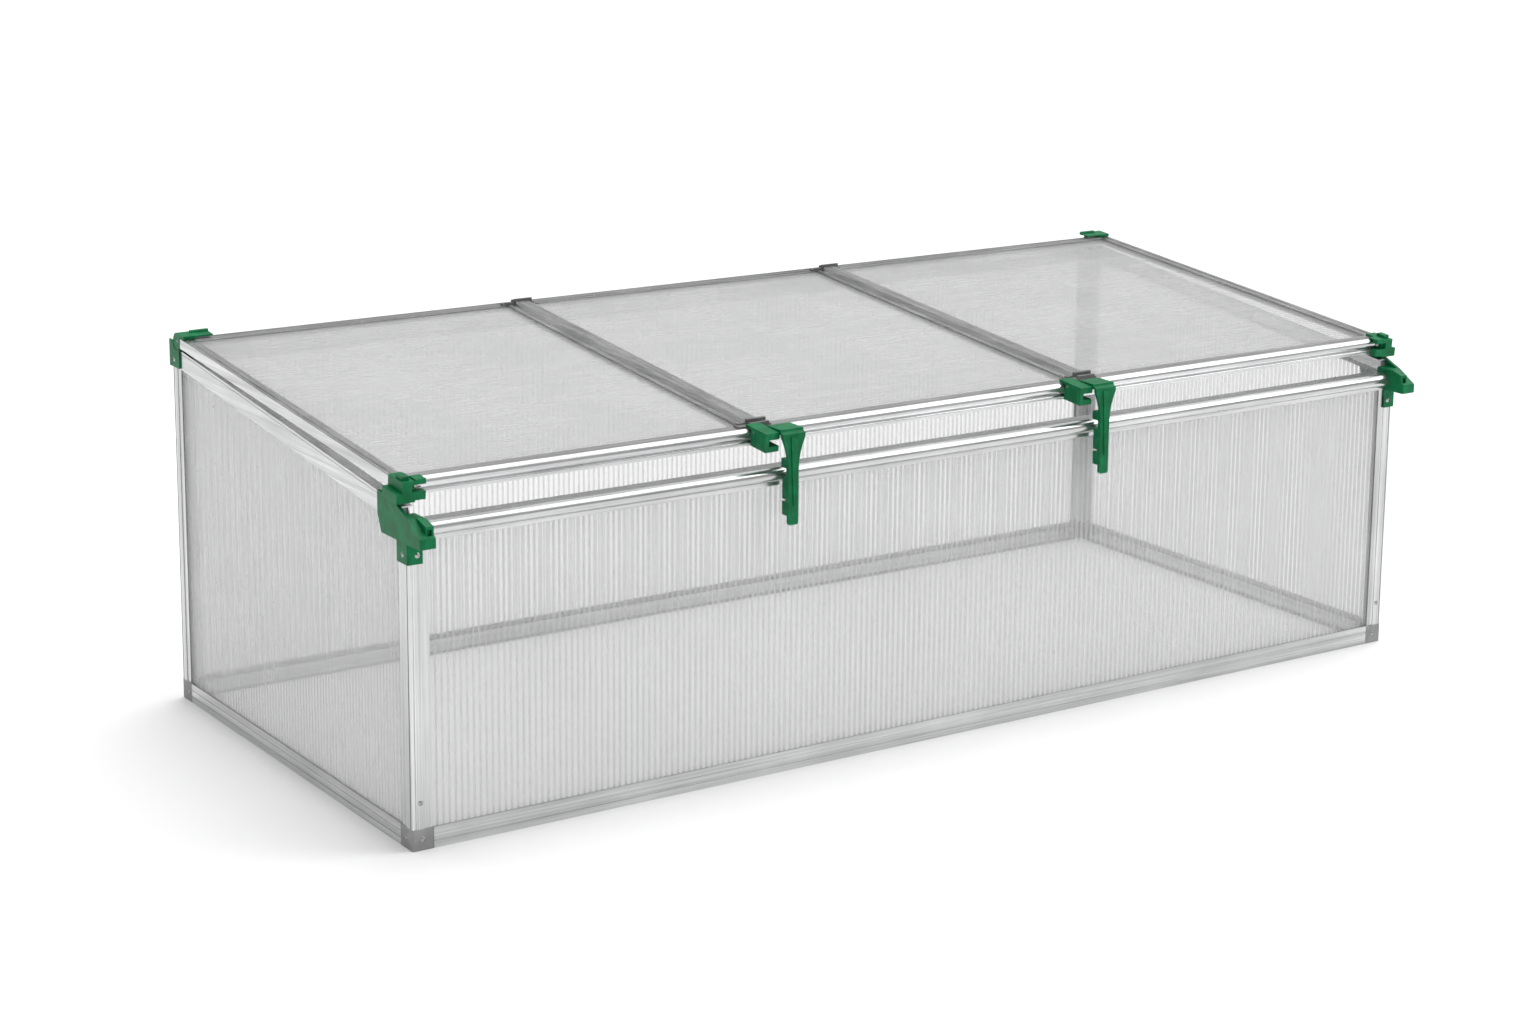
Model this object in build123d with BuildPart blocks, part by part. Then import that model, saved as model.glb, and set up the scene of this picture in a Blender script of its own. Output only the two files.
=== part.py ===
from build123d import *
import math
import os

# Cold frame: an open-bottomed growing frame of aluminium bars and twin-wall sheet, with one
# three-pane lid hinged along the back and two notched stays hanging from the lid's front bar.
# X runs to the right, Y to the back and Z up. The origin is on the ground, in the middle of
# the space that the whole object takes up.

# ---- overall sizes ----
frame_length = 1500.0
frame_depth = 650.0
rail_height = 25.4
front_post_top = 360.2
rear_post_top = 458.0

# ---- sheet and extrusion walls ----
sheet = 6.0
sheet_slack = 0.3
wall = 2.0
inner_wall = 1.6
seam = 0.5

# ---- corner posts ----
post_core = 15.0
post_wall = 1.6
post_corner_radius = 3.0
channel_length = 10.0
channel_wall = 1.2
channel_recess = 0.8
post_seam_width = 1.8
post_seam_depth = 1.0
post_seam_place = 3.2

# ---- bottom brackets and rails ----
bracket_leg_x = 26.4
bracket_leg_y = 29.0
bracket_chamfer = 1.6
rail_web_height = 9.0
rail_foot = 16.0
rail_inner_height = 20.0
plug_length = 20.0
plug_slack = 0.15
groove_depth = 0.4
groove_width = 0.8
bar_seat = 0.2
cut_past = 1.0

# ---- front top bar ----
bead_radius = 8.0
bead_wall = 1.6
bead_forward = 1.0
skirt_below_bead = 13.1
bar_flange_depth = 17.0

# ---- sloping side rails and the rear top bar ----
side_rail_slope = 6.13
side_rail_height = 24.0
side_rail_flange = 14.0
side_rail_rear_top = 463.6
rear_bar_bottom = 440.0
rear_bar_top = 462.6

# ---- front corner fittings ----
fitting_wall = 2.0
fitting_thickness = 18.0
fitting_rear_reach = 66.0
plate_thickness = 4.0
arm_reach = 36.0
socket_bottom = 335.0
socket_reach_x = 17.0
socket_reach_y = 24.0
arm_tip_height = 12.0
arm_step = 5.0
arm_top_rise = 29.0
arm_top_front = 7.0
seat_start = 29.0
plate_corner_rise = 20.0
plate_corner_bevel = 9.0
nose_thickness = 9.9
nose_rise = 5.0
nose_tip_rise = 24.5
nose_slope_length = 22.0
pocket_inset = 2.5
pocket_width = 5.5
pocket_height = 7.0
pocket_depth = 8.0
pocket_rise = 14.0
arm_chamfer = 1.0

# ---- rear corner fittings and the lid hinge ----
strap_bottom = 440.2
strap_width = 30.0
strap_back = 4.0
post_cap_thickness = 3.0
hinge_from_back = 19.0
hinge_height = 474.5
hinge_drum_radius = 11.0
hinge_seat_gap = 0.6
hinge_ear_step = 4.0
hinge_ear = 3.5
hinge_ear_inset = 19.0
hinge_pin_radius = 2.5
pin_fit = 0.04
running_fit = 0.08

# ---- lid, measured from the hinge axis along and above its own slope ----
lid_slope = 5.1
lid_overhang = 2.0
lid_bead_radius = 7.5
lid_bead_wall = 1.5
lid_bead_setback = 21.0
lid_bead_above = 0.5
lid_lip_radius = 2.0
lid_skirt = 12.5
lid_skirt_inset = 3.0
pane_bottom = -1.5
lid_flange = 1.5
lid_bar_width = 16.0
lid_front_flange = 18.0
lid_side_skirt = 6.2
lid_rear_start = -26.0
lid_rear_end = -12.0
pane_grip = 9.0
ridge_width = 1.5
ridge_height = 0.7
rear_ridge_inset = 4.0
side_ridge_inset = 6.0

# ---- cross bars ----
cross_bar_shift = -25.0
cross_bar_width = 30.0
cross_bar_rise = 5.0
cross_body_start = 8.0
cross_body_margin = 2.5
cross_body_slant = 2.0
cross_body_wall = 3.0
clip_width = 46.0
clip_thickness = 2.0
clip_gap = 0.3
clip_rise = 2.5
clip_edge = 3.0
front_clip_length = 12.0
rear_clip_length = 9.0

# ---- green caps on the lid ----
cap_forward = 8.5
cap_depth = 35.0
cap_overhang = 7.0
cap_bottom = -16.0
prong_length = 13.0
prong_lower_top = -4.2
prong_upper_bottom = 4.0
cap_top = 8.5
cap_gap = 0.3
cap_pad = 1.5
cap_edge_radius = 1.2
prong_rise = 2.0
screw_pocket_reach = 4.0
boss_inset = 2.0
boss_width = 9.0
boss_setback = 6.0
boss_length = 14.0
boss_height = 4.5

# ---- green caps on the hinge ----
drum_gap = 0.5
drum_past_bar = 0.8
hinge_plate_length = 24.0
hinge_plate_thickness = 1.8
hinge_ridge_radius = 2.8
hinge_lip = 1.4
hinge_lip_height = 8.2

# ---- stays and their brackets ----
stay_offset_left = 21.0
stay_offset_right = -4.0
bracket_width = 19.0
bracket_bottom = -11.0
bracket_top = 12.0
bracket_cheek = 5.0
bracket_hook = 4.0
bracket_forward = 32.0
bracket_screw_place = 0.6
stay_head_width = 32.0
stay_stem_width = 14.0
stay_stem_thickness = 4.0
stay_web_depth = 10.0
stay_web_width = 9.0
stay_flare_drop = 4.0
stay_flare_length = 40.0
stay_hood_radius = 5.0
stay_rib_length = 82.0
stay_rib_height = 1.6
stay_foot_chamfer = 2.0
stay_web_end = 11.0
catch_tooth_drop = 30.5
catch_tooth_height = 11.0
catch_notch_height = 11.0
catch_block_height = 27.0
catch_slit_height = 3.0
catch_notch_depth = 8.0
catch_block_reach = 2.5
stay_clearance = 0.5
stay_length = 110.0
stay_barrel_radius = 6.2
stay_pin_radius = 1.5
stay_pin_forward = 12.8
stay_pin_above = 6.0

# ---- rivets and screws ----
rivet_head_radius = 3.2
rivet_head_height = 1.1
rivet_shank_radius = 1.6
screw_head_radius = 2.8
screw_head_height = 1.6
screw_shank_radius = 1.4
screw_slot = 0.6
cap_screw_inset = 4.5
rivet_across = 0.7
rivet_past = 1.0
post_rivet_rise = 31.0
fitting_rivet_rise = 10.0
bracket_rivet_place = 0.62

# ---- worked-out places ----
x_out = frame_length / 2
front_y = -frame_depth / 2 + (arm_reach - strap_back) / 2
back_y = front_y + frame_depth
slot_start = wall
slot_end = wall + sheet + 2 * sheet_slack
sheet_out = wall + sheet_slack
rail_depth = slot_end + inner_wall
bead_height = front_post_top + bar_seat + skirt_below_bead
bead_front = front_y - bead_forward - bead_radius
hinge_y = back_y - hinge_from_back
hinge_ear_radius = hinge_drum_radius - hinge_ear_step
lid_half_width = x_out + lid_overhang
lid_bead_along = front_y - hinge_y + lid_bead_setback
front_reach = x_out + fitting_wall - fitting_thickness - seam
ear_in = -x_out + hinge_ear_inset
rear_reach = -ear_in - seam
cross_bar_x = (-frame_length / 6 + cross_bar_shift, frame_length / 6 + cross_bar_shift)
pane_top = pane_bottom + sheet
lid_top = pane_top + sheet_slack + lid_flange
lid_bottom = pane_bottom - sheet_slack - lid_flange
SIDES = {"left": -1, "right": 1}


def save(part, name):
    """Label one finished piece and write it to its own STEP file."""
    part.label = name
    export_step(part, f"parts/{name}.step")
    return part


def block(u0, u1, v0, v1):
    """Add a rectangle between two corners to the sketch being drawn."""
    with Locations(((u0 + u1) / 2, (v0 + v1) / 2)):
        Rectangle(abs(u1 - u0), abs(v1 - v0))


def brick(x0, x1, y0, y1, z0, z1, mode=Mode.ADD):
    """Add or cut a box between two corners in the part being built."""
    with Locations(((x0 + x1) / 2, (y0 + y1) / 2, (z0 + z1) / 2)):
        Box(abs(x1 - x0), abs(y1 - y0), abs(z1 - z0), mode=mode)


def save_both(left, name):
    """Save a left-hand piece and its mirror image."""
    save(left.part, f"{name}_left")
    with BuildPart() as right:
        add(mirror(left.part, about=Plane.YZ, mode=Mode.PRIVATE))
    save(right.part, f"{name}_right")


# The lid's own frame: X to the right, Y up the slope to the back, Z out of the lid.
slope = math.radians(lid_slope)
LID = Plane(origin=(0, hinge_y, hinge_height), x_dir=(1, 0, 0),
            z_dir=(0, -math.sin(slope), math.cos(slope)))


def lid_point(x, along, above):
    """A point given in the lid's own frame."""
    return LID.from_local_coords(Vector(x, along, above))


def lid_section(x):
    """A plane across the lid at x: its X runs up the slope and its Y out of the lid."""
    return Plane(origin=lid_point(x, 0, 0), x_dir=LID.y_dir, z_dir=LID.x_dir)


def lid_face(along):
    """A plane square to the slope: its X runs to the right and its normal to the front."""
    return Plane(origin=lid_point(0, along, 0), x_dir=LID.x_dir, z_dir=-LID.y_dir)


# ---- bottom rails and brackets ----

def rail_profile():
    """Outer wall, sheet slot with its web, inner wall and foot, drawn inwards from the outside."""
    block(0, wall, 0, rail_height)
    block(slot_end, rail_depth, 0, rail_inner_height)
    block(0, rail_foot, 0, inner_wall)
    block(wall, slot_end, rail_web_height - inner_wall, rail_web_height)


def rail_grooves():
    """Two shallow lines along the outer face."""
    for height in (rail_height / 3, rail_height * 2 / 3):
        with Locations((0, height)):
            Rectangle(2 * groove_depth, groove_width, mode=Mode.SUBTRACT)


def bottom_rails():
    length_x = frame_length - 2 * (bracket_leg_x + seam)
    length_y = frame_depth - 2 * (bracket_leg_y + seam)
    start_x = -length_x / 2
    with BuildPart() as front:
        with BuildSketch(Plane(origin=(start_x, front_y, 0), x_dir=(0, 1, 0), z_dir=(1, 0, 0))):
            rail_profile()
            rail_grooves()
        extrude(amount=length_x)
    save(front.part, "bottom_rail_front")
    with BuildPart() as rear:
        add(mirror(front.part, about=Plane.XZ.offset(-(front_y + back_y) / 2), mode=Mode.PRIVATE))
    save(rear.part, "bottom_rail_rear")
    start_y = front_y + bracket_leg_y + seam
    with BuildPart() as left:
        with BuildSketch(Plane(origin=(-x_out, start_y + length_y, 0), x_dir=(1, 0, 0), z_dir=(0, -1, 0))):
            rail_profile()
            rail_grooves()
        extrude(amount=length_y)
    save_both(left, "bottom_rail")


def bottom_brackets():
    """Corner blocks with a plug that goes into the end of each rail."""
    plug_out = wall + plug_slack
    plug_in = slot_end - plug_slack
    plug_bottom = inner_wall + plug_slack
    plug_top = rail_web_height - inner_wall - plug_slack
    with BuildPart() as front:
        with BuildSketch():
            block(-x_out, -x_out + bracket_leg_x, front_y, front_y + rail_depth)
            block(-x_out, -x_out + rail_depth, front_y, front_y + bracket_leg_y)
        extrude(amount=rail_height)
        outer_edge = front.edges().filter_by(Axis.Z).group_by(Axis.X)[0].sort_by(Axis.Y)[0]
        chamfer(outer_edge, bracket_chamfer)
        brick(-x_out + bracket_leg_x, -x_out + bracket_leg_x + plug_length,
              front_y + plug_out, front_y + plug_in, plug_bottom, plug_top)
        brick(-x_out + plug_out, -x_out + plug_in,
              front_y + bracket_leg_y, front_y + bracket_leg_y + plug_length, plug_bottom, plug_top)
        # slots that the two wall sheets stand in
        brick(-x_out + post_core, -x_out + bracket_leg_x, front_y + slot_start, front_y + slot_end,
              rail_web_height, rail_height, mode=Mode.SUBTRACT)
        brick(-x_out + slot_start, -x_out + slot_end, front_y + post_core, front_y + bracket_leg_y,
              rail_web_height, rail_height, mode=Mode.SUBTRACT)
        with Locations(*bracket_rivet_places(front_y, 1)):
            Cylinder(rivet_shank_radius + pin_fit, 2 * wall, mode=Mode.SUBTRACT)
    save_both(front, "bottom_bracket_front")
    with BuildPart() as rear:
        add(mirror(front.part, about=Plane.XZ.offset(-(front_y + back_y) / 2), mode=Mode.PRIVATE))
    save_both(rear, "bottom_bracket_rear")


def bracket_rivet_places(edge_y, inward):
    """Where the two rivets of a left-hand bottom bracket stand, each pointing out of its face."""
    middle = rail_height / 2
    return [
        Location((-x_out + bracket_leg_x / 2, edge_y, middle), (90 * inward, 0, 0)),
        Location((-x_out, edge_y + inward * bracket_leg_y * bracket_rivet_place, middle), (0, -90, 0)),
    ]


# ---- posts ----

def post(edge_y, inward, top, face_channel_top):
    """A left-hand post at the outside corner (-x_out, edge_y): a core and two sheet channels."""
    def corner_block(u0, u1, v0, v1):
        block(-x_out + u0, -x_out + u1, edge_y + inward * v0, edge_y + inward * v1)

    channel_end = post_core + channel_length
    channel_inner_end = slot_end + channel_wall
    channel_outer_end = channel_recess + channel_wall
    with BuildPart() as piece:
        with BuildSketch(Plane.XY.offset(rail_height)):
            corner_block(0, post_core, 0, post_core)
            corner_block(channel_recess, channel_outer_end, post_core, channel_end)
            corner_block(slot_end, channel_inner_end, post_core, channel_end)
        extrude(amount=top - rail_height)
        with BuildSketch(Plane.XY.offset(rail_height)):
            corner_block(post_core, channel_end, channel_recess, channel_outer_end)
            corner_block(post_core, channel_end, slot_end, channel_inner_end)
        extrude(amount=face_channel_top - rail_height)
        outside = piece.edges().filter_by(Axis.Z).sort_by_distance((-x_out, edge_y, rail_height))[0]
        fillet(outside, post_corner_radius)
        with BuildSketch(Plane.XY.offset(rail_height)):
            corner_block(post_wall, post_core - post_wall, post_wall, post_core - post_wall)
        extrude(amount=top - rail_height, mode=Mode.SUBTRACT)
        with BuildSketch(Plane.XY.offset(rail_height)):
            seam_end = post_seam_place + post_seam_width
            corner_block(0, post_seam_depth, post_seam_place, seam_end)
            corner_block(post_seam_place, seam_end, 0, post_seam_depth)
        extrude(amount=top - rail_height, mode=Mode.SUBTRACT)
        with Locations(*post_rivet_places(edge_y, inward)):
            Cylinder(rivet_shank_radius + pin_fit, 2 * post_wall, mode=Mode.SUBTRACT)
        with Locations(*fitting_rivet_places(edge_y, inward, 0)):
            Cylinder(rivet_shank_radius + pin_fit, 2 * post_wall, mode=Mode.SUBTRACT)
    return piece


def post_rivet_places(edge_y, inward):
    """The rivet low on the face of a left-hand post."""
    height = rail_height + post_rivet_rise
    return [Location((-x_out + post_core * rivet_across, edge_y, height), (90 * inward, 0, 0))]


def fitting_rivet_places(edge_y, inward, off_face):
    """Rivets through a left-hand green fitting into the post, off_face outside the post's faces."""
    bottom = socket_bottom if inward > 0 else strap_bottom
    height = bottom + fitting_rivet_rise
    across = post_core * rivet_across
    places = [Location((-x_out - off_face, edge_y + inward * across, height), (0, -90, 0))]
    if inward > 0:
        places.append(Location((-x_out + across, edge_y - off_face, height), (90, 0, 0)))
    return places


def posts():
    save_both(post(front_y, 1, front_post_top, front_post_top), "post_front")
    save_both(post(back_y, -1, rear_post_top, rear_bar_bottom - bar_seat), "post_rear")


# ---- rivets ----

def rivet(shank):
    """One domed rivet with a dimple, standing on the local XY plane with its shank below."""
    shoulder = (rivet_head_radius * 0.6, rivet_head_height * 0.8)
    with BuildPart() as piece:
        with BuildSketch(Plane.XZ):
            with BuildLine():
                Polyline((0, 0), (rivet_head_radius, 0))
                ThreePointArc((rivet_head_radius, 0), shoulder, (0, rivet_head_height))
                Line((0, rivet_head_height), (0, 0))
            make_face()
            block(0, rivet_shank_radius, -shank, 0)
        revolve(axis=Axis.Z)
        with Locations((0, 0, rivet_head_height)):
            Cylinder(rivet_shank_radius * 0.7, rivet_head_height, mode=Mode.SUBTRACT)
    return piece.part


def rivets_at(places, shank):
    """A group of separate rivets at the left-hand places and their mirror images."""
    one = rivet(shank)
    left = [one.moved(place) for place in places]
    right = [mirror(piece, about=Plane.YZ) for piece in left]
    return Compound(children=left + right)


def rivets():
    bracket_places = bracket_rivet_places(front_y, 1) + bracket_rivet_places(back_y, -1)
    save(rivets_at(bracket_places, wall - plug_slack), "bracket_rivets")
    post_places = post_rivet_places(front_y, 1) + post_rivet_places(back_y, -1)
    save(rivets_at(post_places, post_wall + rivet_past), "post_rivets")
    fitting_places = fitting_rivet_places(front_y, 1, fitting_wall)
    fitting_places += fitting_rivet_places(back_y, -1, fitting_wall)
    save(rivets_at(fitting_places, fitting_wall + post_wall + rivet_past), "fitting_rivets")


# ---- top bars and side rails ----

def front_top_bar():
    """A round bead with a flange behind its top and a skirt that holds the sheet."""
    bottom = front_post_top + bar_seat
    bead_top = bead_height + bead_radius
    with BuildPart() as piece:
        with BuildSketch(Plane(origin=(-front_reach, front_y, 0), x_dir=(0, 1, 0), z_dir=(1, 0, 0))):
            block(0, wall, bottom, bead_height)
            block(slot_end, rail_depth, bottom, bead_top)
            block(0, rail_depth, bead_height, bead_height + inner_wall)
            block(-bead_forward, bar_flange_depth, bead_top, bead_top + inner_wall)
            with Locations((-bead_forward, bead_height)):
                Circle(bead_radius)
                Circle(bead_radius - bead_wall, mode=Mode.SUBTRACT)
            with Locations((-bead_forward, bead_top)):
                Rectangle(bead_radius / 2, 2 * inner_wall)
            with Locations(((slot_start + slot_end) / 2, (bottom + bead_height) / 2)):
                Rectangle(slot_end - slot_start, bead_height - bottom, mode=Mode.SUBTRACT)
        extrude(amount=2 * front_reach)
    save(piece.part, "front_top_bar")


def rear_top_bar():
    with BuildPart() as piece:
        with BuildSketch(Plane(origin=(rear_reach, back_y, 0), x_dir=(0, -1, 0), z_dir=(-1, 0, 0))):
            block(0, wall, rear_bar_bottom, rear_bar_top)
            block(slot_end, rail_depth, rear_bar_bottom, rear_bar_top)
            block(0, bar_flange_depth, rear_bar_top - inner_wall, rear_bar_top)
        extrude(amount=2 * rear_reach)
    save(piece.part, "rear_top_bar")


rail_front_end = front_y + post_core
rail_rear_end = back_y + strap_back - strap_width - seam
rail_rise = math.tan(math.radians(side_rail_slope))


def rail_top_at(y):
    """Height of the side rail's top face at y."""
    return side_rail_rear_top - (rail_rear_end - y) * rail_rise


def side_top_rails():
    """Sloping rails: a flat outer band, a top flange and an inner wall round the sheet."""
    tilt = math.radians(side_rail_slope)
    along = (0, -math.cos(tilt), -math.sin(tilt))
    length = (rail_rear_end - rail_front_end) / math.cos(tilt) + 2 * side_rail_height
    start_y = rail_rear_end + side_rail_height
    with BuildPart() as piece:
        end_face = Plane(origin=(-x_out, start_y, rail_top_at(start_y)), x_dir=(1, 0, 0), z_dir=along)
        with BuildSketch(end_face):
            block(0, wall, -side_rail_height, 0)
            block(0, side_rail_flange, -inner_wall, 0)
            block(slot_end, rail_depth, -side_rail_height * 0.6, 0)
            with Locations((0, -side_rail_height / 7)):
                Rectangle(2 * groove_depth, groove_width, mode=Mode.SUBTRACT)
        extrude(amount=length)
        split(bisect_by=Plane.XZ.offset(-rail_rear_end), keep=Keep.TOP)
        split(bisect_by=Plane.XZ.offset(-rail_front_end), keep=Keep.BOTTOM)
    save_both(piece, "side_top_rail")


# ---- wall sheets ----

def wall_sheets():
    front_sheet_top = bead_height - sheet_slack
    with BuildPart() as front:
        brick(-front_reach, front_reach, front_y + sheet_out, front_y + sheet_out + sheet,
              rail_web_height, front_sheet_top)
    save(front.part, "wall_sheet_front")
    with BuildPart() as rear:
        brick(-rear_reach, rear_reach, back_y - sheet_out - sheet, back_y - sheet_out,
              rail_web_height, rear_bar_top - inner_wall - sheet_slack)
    save(rear.part, "wall_sheet_rear")
    first = front_y + post_core + sheet_slack
    last = back_y - post_core - sheet_slack
    below_rail = (inner_wall + sheet_slack) / math.cos(math.radians(side_rail_slope))
    with BuildPart() as left:
        with BuildSketch(Plane.YZ.offset(-x_out + sheet_out)):
            Polygon((first, rail_web_height), (last, rail_web_height),
                    (last, rail_top_at(last) - below_rail), (first, rail_top_at(first) - below_rail),
                    align=None)
        extrude(amount=sheet)
    save_both(left, "wall_sheet")


# ---- green corner fittings of the frame ----

def front_fittings():
    """Side plate and forward arm over the post, with a socket riveted round the post's top."""
    out = -x_out - fitting_wall
    inside = out + fitting_thickness
    tip = front_y - arm_reach
    rear = front_y + fitting_rear_reach
    seat_front = front_y + seat_start
    arm_rear = front_y + post_core - seam
    base = front_post_top
    arm_top = base + arm_top_rise
    with BuildPart() as piece:
        with BuildSketch(Plane.YZ.offset(-x_out - plate_thickness)):
            Polygon((rear, base + plate_corner_rise), (rear, cap_rest_height(rear)),
                    (seat_front, cap_rest_height(seat_front)), (front_y - arm_top_front, arm_top),
                    (tip, base + arm_tip_height), (tip, base), (rear - plate_corner_bevel, base),
                    align=None)
        extrude(amount=plate_thickness)
        # the arm is thick only in front of the side sheet
        with BuildSketch(Plane.YZ.offset(out)):
            Polygon((arm_rear, base), (arm_rear, arm_top), (front_y - arm_top_front, arm_top),
                    (tip, base + arm_tip_height), (tip, base), align=None)
        extrude(amount=fitting_thickness)
        # the inner half of the arm stands higher at its tip, with a square pocket in its front
        with BuildSketch(Plane.YZ.offset(inside - nose_thickness)):
            Polygon((tip + arm_step, base + nose_rise), (tip + arm_step, base + nose_tip_rise),
                    (tip + nose_slope_length, arm_top), (front_y, arm_top), (front_y, base + nose_rise),
                    align=None)
        extrude(amount=nose_thickness)
        brick(inside - pocket_inset - pocket_width, inside - pocket_inset, tip, tip + pocket_depth,
              base + pocket_rise, base + pocket_rise + pocket_height, mode=Mode.SUBTRACT)
        chamfer(piece.edges().filter_by(Axis.X).group_by(Axis.Y)[0], arm_chamfer)
        # socket round the outside of the post
        brick(out, -x_out, front_y - fitting_wall, front_y + socket_reach_y, socket_bottom, base)
        brick(out, -x_out + socket_reach_x, front_y - fitting_wall, front_y, socket_bottom, base)
        uprights = piece.edges().filter_by(Axis.Z)
        corner = uprights.sort_by_distance((out, front_y - fitting_wall, socket_bottom))[0]
        fillet(corner, fitting_wall * 0.9)
        with Locations(*fitting_rivet_places(front_y, 1, fitting_wall)):
            Cylinder(rivet_shank_radius + pin_fit, 3 * fitting_wall, mode=Mode.SUBTRACT)
    save_both(piece, "front_fitting")


def rear_fittings():
    """Strap on the post's side, wall on its back, a cap on its top and the hinge ear."""
    out = -x_out - fitting_wall
    back = back_y + strap_back
    post_cap_top = rear_post_top + post_cap_thickness
    ear_out = ear_in - hinge_ear
    with BuildPart() as piece:
        brick(out, -x_out, back - strap_width, back, strap_bottom, hinge_height)
        brick(out, -x_out + socket_reach_x, back_y, back, strap_bottom, post_cap_top)
        brick(out, ear_in, back_y - post_core, back, rear_post_top, post_cap_top)
        brick(ear_out, ear_in, hinge_y - hinge_ear_radius, back_y, rear_post_top, post_cap_top)
        with BuildSketch(Plane.YZ.offset(ear_out)):
            block(hinge_y - hinge_ear_radius, hinge_y + hinge_ear_radius, rear_post_top, hinge_height)
            with Locations((hinge_y, hinge_height)):
                Circle(hinge_ear_radius)
        extrude(amount=hinge_ear)
        # the drum of the lid's hinge cap turns in a round seat in the strap
        with BuildSketch(Plane.YZ.offset(out - cut_past)):
            with Locations((hinge_y, hinge_height)):
                Circle(hinge_drum_radius + hinge_seat_gap)
        extrude(amount=fitting_thickness + cut_past, mode=Mode.SUBTRACT)
        with BuildSketch(Plane.YZ.offset(out - cut_past)):
            with Locations((hinge_y, hinge_height)):
                Circle(hinge_pin_radius + pin_fit)
        extrude(amount=ear_in - out + 2 * cut_past, mode=Mode.SUBTRACT)
        with Locations(*fitting_rivet_places(back_y, -1, fitting_wall)):
            Cylinder(rivet_shank_radius + pin_fit, 3 * fitting_wall, mode=Mode.SUBTRACT)
    save_both(piece, "rear_fitting")


def hinge_pins():
    """Two steel pins that stand in the frame's hinge ears and carry the lid's drums."""
    start = -x_out - fitting_wall / 2
    with BuildPart() as left:
        with BuildSketch(Plane.YZ.offset(start)):
            with Locations((hinge_y, hinge_height)):
                Circle(hinge_pin_radius)
        extrude(amount=ear_in - start)
    pins = [left.part, mirror(left.part, about=Plane.YZ)]
    save(Compound(children=pins), "hinge_pins")


# ---- lid bars ----

lid_front_face = lid_bead_along - lid_bead_radius
lid_bead_top = lid_bead_above + lid_bead_radius
lid_inner_x = lid_half_width - lid_bar_width


def cap_rest_height(y):
    """Height of the underside of the lid's front cap at y, less a small gap."""
    along = (y - hinge_y + cap_bottom * math.sin(slope)) / math.cos(slope)
    return hinge_height + along * math.sin(slope) + cap_bottom * math.cos(slope) - seam


def lid_front_bar():
    """A round bead, flanges that hold the panes' front edges and a lipped skirt."""
    flange_end = lid_bead_along + lid_front_flange
    skirt_bottom = lid_bead_above - lid_skirt
    skirt_front = lid_front_face + lid_skirt_inset
    with BuildPart() as piece:
        with BuildSketch(lid_section(-lid_inner_x)):
            with Locations((lid_bead_along, lid_bead_above)):
                Circle(lid_bead_radius)
            block(lid_bead_along, flange_end, pane_top + sheet_slack, lid_top)
            block(lid_bead_along, flange_end, lid_bottom, pane_bottom - sheet_slack)
            block(skirt_front, skirt_front + wall, skirt_bottom, lid_bead_above)
            with Locations((skirt_front, skirt_bottom + 2 * lid_lip_radius)):
                Circle(lid_lip_radius)
            with Locations((lid_bead_along, lid_bead_above)):
                Circle(lid_bead_radius - lid_bead_wall, mode=Mode.SUBTRACT)
        extrude(amount=2 * lid_inner_x)
        with BuildSketch(lid_face(lid_front_face - cut_past)):
            with Locations(*[(x, lid_bead_above) for x in lid_screw_xs()]):
                Circle(screw_shank_radius + pin_fit)
        extrude(amount=-(cut_past + 3 * lid_bead_wall), mode=Mode.SUBTRACT)
    save(piece.part, "lid_front_bar")


def lid_rear_bar():
    """A channel for the panes' rear edges with a raised rim behind it and a ridge on top."""
    ridge_start = lid_rear_start + rear_ridge_inset
    with BuildPart() as piece:
        with BuildSketch(lid_section(-lid_inner_x)):
            block(lid_rear_start, lid_rear_end, pane_top + sheet_slack, lid_top)
            block(lid_rear_start, lid_rear_end, lid_bottom, pane_bottom - sheet_slack)
            block(lid_rear_end - wall, lid_rear_end, lid_bottom, lid_top + ridge_height)
            block(ridge_start, ridge_start + ridge_width, lid_top, lid_top + ridge_height)
        extrude(amount=2 * lid_inner_x)
    save(piece.part, "lid_rear_bar")


def lid_side_bars():
    """Channels for the outer panes' sides, with a skirt down the outside and a ridge on top."""
    ridge_start = -lid_half_width + side_ridge_inset
    with BuildPart() as piece:
        with BuildSketch(lid_face(lid_rear_end)):
            block(-lid_half_width, -lid_inner_x, pane_top + sheet_slack, lid_top)
            block(-lid_half_width, -lid_inner_x, lid_bottom, pane_bottom - sheet_slack)
            block(-lid_half_width, -lid_half_width + wall, -lid_side_skirt, lid_top)
            block(ridge_start, ridge_start + ridge_width, lid_top, lid_top + ridge_height)
        extrude(amount=lid_rear_end - lid_front_face - cap_depth + cap_forward)
    save_both(piece, "lid_side_bar")


def cross_bar_span():
    """Where the cross bars start and end along the slope, between the front and rear bars."""
    return lid_bead_along + lid_front_flange + bar_seat, lid_rear_start - bar_seat


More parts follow.
